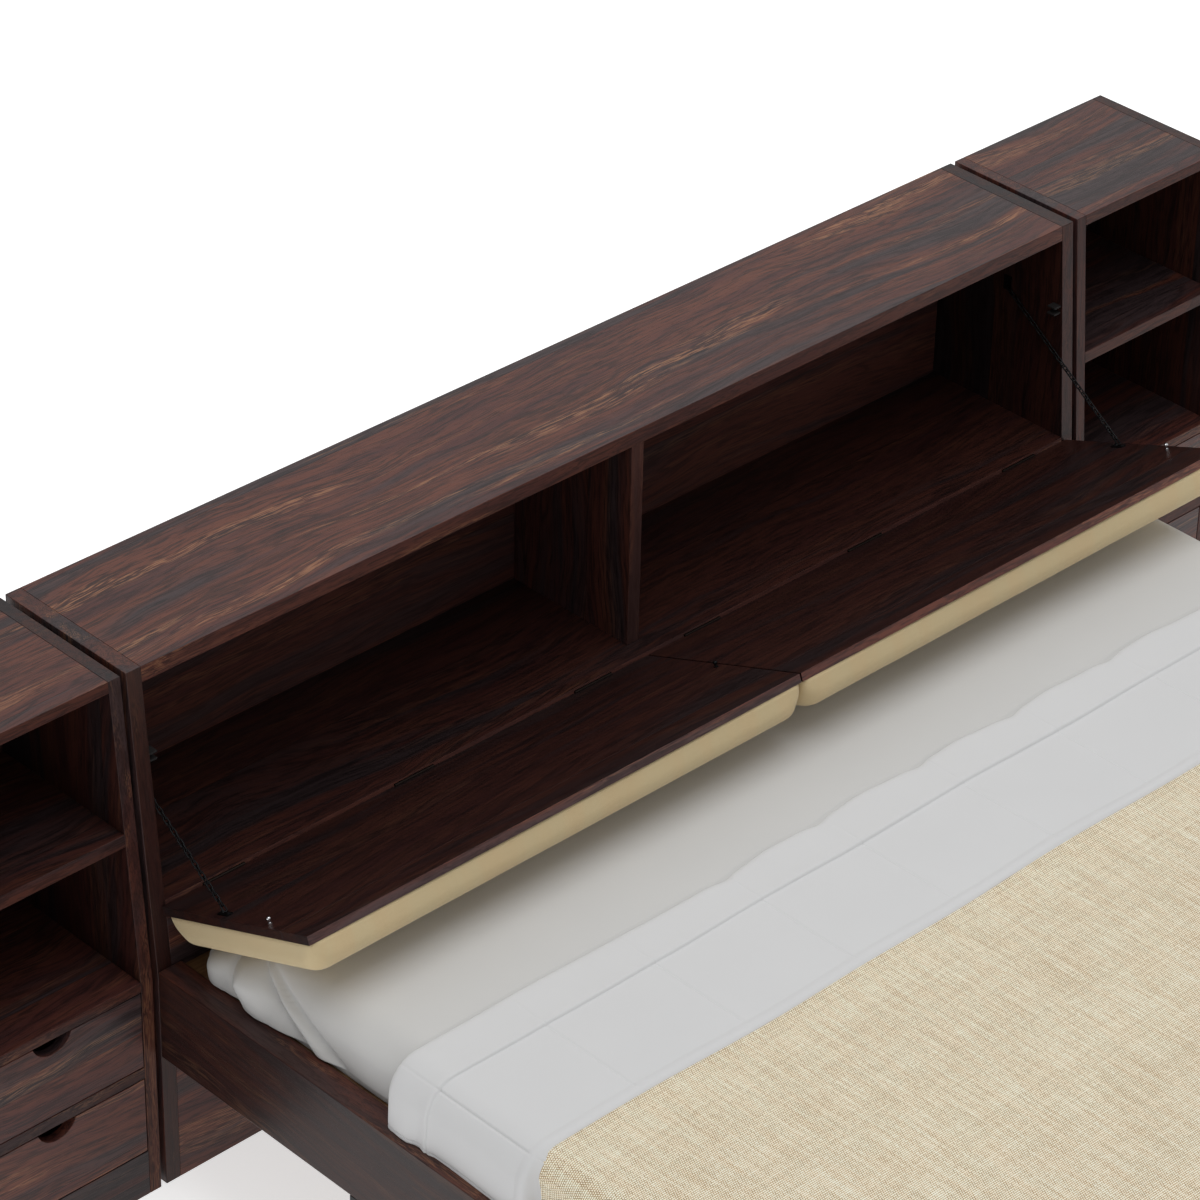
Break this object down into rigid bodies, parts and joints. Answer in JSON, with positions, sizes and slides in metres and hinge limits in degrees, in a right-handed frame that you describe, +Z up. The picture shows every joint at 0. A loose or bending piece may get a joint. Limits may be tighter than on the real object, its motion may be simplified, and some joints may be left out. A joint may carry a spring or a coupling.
{
  "type": "bed with attached nightstands",
  "caption": "Low double bed whose slant-fronted headboard cabinet has padded drop-down flaps on chains, with an open-shelf drawer nightstand bolted to each side.",
  "frame": {"origin": "centre of the bounding box's base, on the floor", "axes": "+X across the bed to the right of someone facing the headboard from the foot, +Y from the foot to the headboard, +Z up"},
  "size_m": [2.694, 2.357, 0.88],
  "materials": {
    "dark_wood": "satin stained hardwood",
    "light_wood": "unstained hardwood",
    "cotton": "plain woven cotton",
    "linen": "slubbed linen weave",
    "pad_cloth": "smooth upholstery cloth",
    "steel": "plated",
    "black_steel": "matt powder coat",
    "black_metal": "blackened"
  },
  "bodies": {
    "bed": {"head_side_left": "dark_wood", "head_side_right": "dark_wood", "head_top": "dark_wood", "head_floor": "dark_wood", "head_divider": "dark_wood", "head_back": "dark_wood", "head_lower_front": "dark_wood", "hinge_rail": "dark_wood", "rail_left": "dark_wood", "rail_right": "dark_wood", "foot_rail": "dark_wood", "side_legs": "black_steel", "centre_beam": "light_wood", "centre_legs": "black_steel", "cleats": "light_wood", "platform_head": "light_wood", "platform_foot": "light_wood", "corner_brackets": "steel", "bed_screws": "steel", "mattress": "cotton", "top_sheet": "cotton", "blanket": "linen", "hinge_leaves": "steel", "chain_anchors": "black_metal", "catch_keepers": "steel", "stand_bolts": "steel", "chain_left": "black_metal", "chain_right": "black_metal", "stand_left_inner_side": "dark_wood", "stand_left_outer_side": "dark_wood", "stand_left_top": "dark_wood", "stand_left_shelf": "dark_wood", "stand_left_deck": "dark_wood", "stand_left_middle_board": "dark_wood", "stand_left_base": "dark_wood", "stand_left_back": "dark_wood", "stand_right_inner_side": "dark_wood", "stand_right_outer_side": "dark_wood", "stand_right_top": "dark_wood", "stand_right_shelf": "dark_wood", "stand_right_deck": "dark_wood", "stand_right_middle_board": "dark_wood", "stand_right_base": "dark_wood", "stand_right_back": "dark_wood"},
    "flap_left": {"flap_left_board": "dark_wood", "flap_left_pad": "pad_cloth", "flap_left_hinges": "steel", "flap_left_fittings": "black_metal"},
    "drawer_left_upper": {"drawer_left_upper_front": "dark_wood", "drawer_left_upper_box": "light_wood"},
    "drawer_left_lower": {"drawer_left_lower_front": "dark_wood", "drawer_left_lower_box": "light_wood"},
    "flap_right": {"flap_right_board": "dark_wood", "flap_right_pad": "pad_cloth", "flap_right_hinges": "steel", "flap_right_fittings": "black_metal"},
    "drawer_right_upper": {"drawer_right_upper_front": "dark_wood", "drawer_right_upper_box": "light_wood"},
    "drawer_right_lower": {"drawer_right_lower_front": "dark_wood", "drawer_right_lower_box": "light_wood"}
  },
  "joints": [
    {"name": "flap_left_hinge", "type": "hinge", "parent": "bed", "child": "flap_left", "pos_m": [0, 0.87373, 0.4925], "axis": [-1, 0, 0], "range_deg": [0, 73.54], "deforming": ["chain_left"]},
    {"name": "drawer_left_upper_slide", "type": "slide", "parent": "bed", "child": "drawer_left_upper", "axis": [0, -1, 0], "range_m": [0, 0.2]},
    {"name": "drawer_left_lower_slide", "type": "slide", "parent": "bed", "child": "drawer_left_lower", "axis": [0, -1, 0], "range_m": [0, 0.2]},
    {"name": "flap_right_hinge", "type": "hinge", "parent": "bed", "child": "flap_right", "pos_m": [0, 0.87373, 0.4925], "axis": [-1, 0, 0], "range_deg": [0, 73.54], "deforming": ["chain_right"]},
    {"name": "drawer_right_upper_slide", "type": "slide", "parent": "bed", "child": "drawer_right_upper", "axis": [0, -1, 0], "range_m": [0, 0.2]},
    {"name": "drawer_right_lower_slide", "type": "slide", "parent": "bed", "child": "drawer_right_lower", "axis": [0, -1, 0], "range_m": [0, 0.2]}
  ]
}
